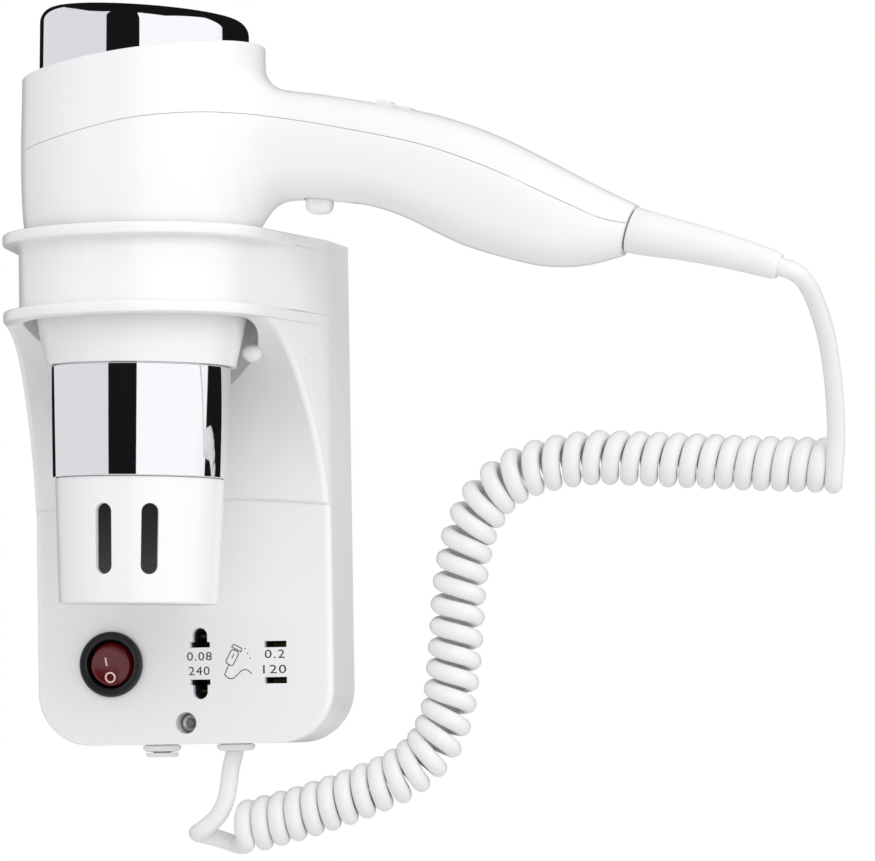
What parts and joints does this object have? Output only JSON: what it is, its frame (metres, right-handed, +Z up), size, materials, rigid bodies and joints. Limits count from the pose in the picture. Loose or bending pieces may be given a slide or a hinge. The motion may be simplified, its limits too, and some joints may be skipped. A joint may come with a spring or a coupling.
{
  "type": "wall-mounted hair dryer",
  "caption": "Wall-mounted hair dryer: holder with a collar, rocker switch and shaver outlet, the dryer docked nozzle down in the collar, and a curly cord.",
  "frame": {"origin": "centre of the holder's back, on the wall plane", "axes": "+Y points into the wall, +Z up, +X right, toward the dryer's handle; the holder stands out toward -Y"},
  "size_m": [0.2907, 0.121, 0.2985],
  "materials": {
    "white_gloss": "glossy moulded ABS",
    "white_satin": "satin",
    "black_plastic": "satin",
    "dark_plastic": "matt",
    "red_rocker": "translucent, glossy",
    "chrome": "mirror-bright plating",
    "steel": "plain",
    "brass": "plain",
    "copper": "enamelled copper wire",
    "mica": "matt mica and paper board",
    "nichrome": "oxidised wire"
  },
  "bodies": {
    "wall_unit": {"holder_housing": "white_gloss", "back_plate": "white_satin", "cover_screw": "steel", "rocker_frame": "black_plastic", "outlet_body": "black_plastic", "contact_240_upper": "brass", "contact_240_lower": "brass", "contact_120_upper": "brass", "contact_120_lower": "brass", "transformer_core": "steel", "transformer_winding": "copper", "overload_cutout": "black_plastic", "terminal_block": "white_satin", "supply_gland": "white_gloss", "cord_bush": "white_gloss", "gland_plug": "white_satin", "cord_clamp": "dark_plastic", "cord_coil": "white_satin", "cord_tail_base": "white_satin"},
    "rocker": {"rocker_button": "red_rocker"},
    "dryer": {"front_shell": "white_gloss", "rear_shell": "white_gloss", "handle_screw": "steel", "rear_cap_ring": "chrome", "inlet_grille": "dark_plastic", "inlet_filter": "steel", "fan_duct": "dark_plastic", "motor_can": "steel", "motor_end_cap": "dark_plastic", "rectifier_board": "mica", "mica_sleeve": "mica", "heater_frame": "mica", "heating_coil": "nichrome", "thermostat": "black_plastic", "thermal_fuse": "steel", "chrome_barrel": "chrome", "outlet_grille": "dark_plastic", "trigger_spring": "steel", "trigger_switch": "black_plastic", "slide_switch_body": "black_plastic", "cord_boot": "white_satin", "cord_tail_handle": "white_satin"},
    "trigger": {"trigger_button": "white_gloss"},
    "slide_knob": {"slide_knob": "white_gloss"},
    "fan": {"fan_impeller": "dark_plastic", "motor_shaft": "steel"},
    "nozzle": {"nozzle_tip": "white_gloss"}
  },
  "joints": [
    {"name": "rocker_tilt", "type": "hinge", "parent": "wall_unit", "child": "rocker", "pos_m": [-0.0263, -0.027, -0.0616], "axis": [0.9962, 0, 0.0872], "range_deg": [-18, 0]},
    {"name": "dryer_lift", "type": "slide", "parent": "wall_unit", "child": "dryer", "axis": [0, 0, 1], "range_m": [0, 0.14]},
    {"name": "trigger_travel", "type": "slide", "parent": "dryer", "child": "trigger", "axis": [0.0244, 0, 0.9997], "range_m": [0, 0.003], "stiffness_N_per_m": 300, "springref_m": -0.002, "deforming": ["trigger_spring"]},
    {"name": "slide_travel", "type": "slide", "parent": "dryer", "child": "slide_knob", "axis": [-0.9781, 0, 0.2079], "range_m": [0, 0.006]},
    {"name": "fan_spin", "type": "hinge", "parent": "dryer", "child": "fan", "pos_m": [0.00146, -0.074, 0.10496], "axis": [0.0244, 0, 0.9997], "continuous": true},
    {"name": "nozzle_turn", "type": "hinge", "parent": "dryer", "child": "nozzle", "pos_m": [-0.00164, -0.074, -0.02201], "axis": [0.0244, 0, 0.9997], "continuous": true}
  ]
}
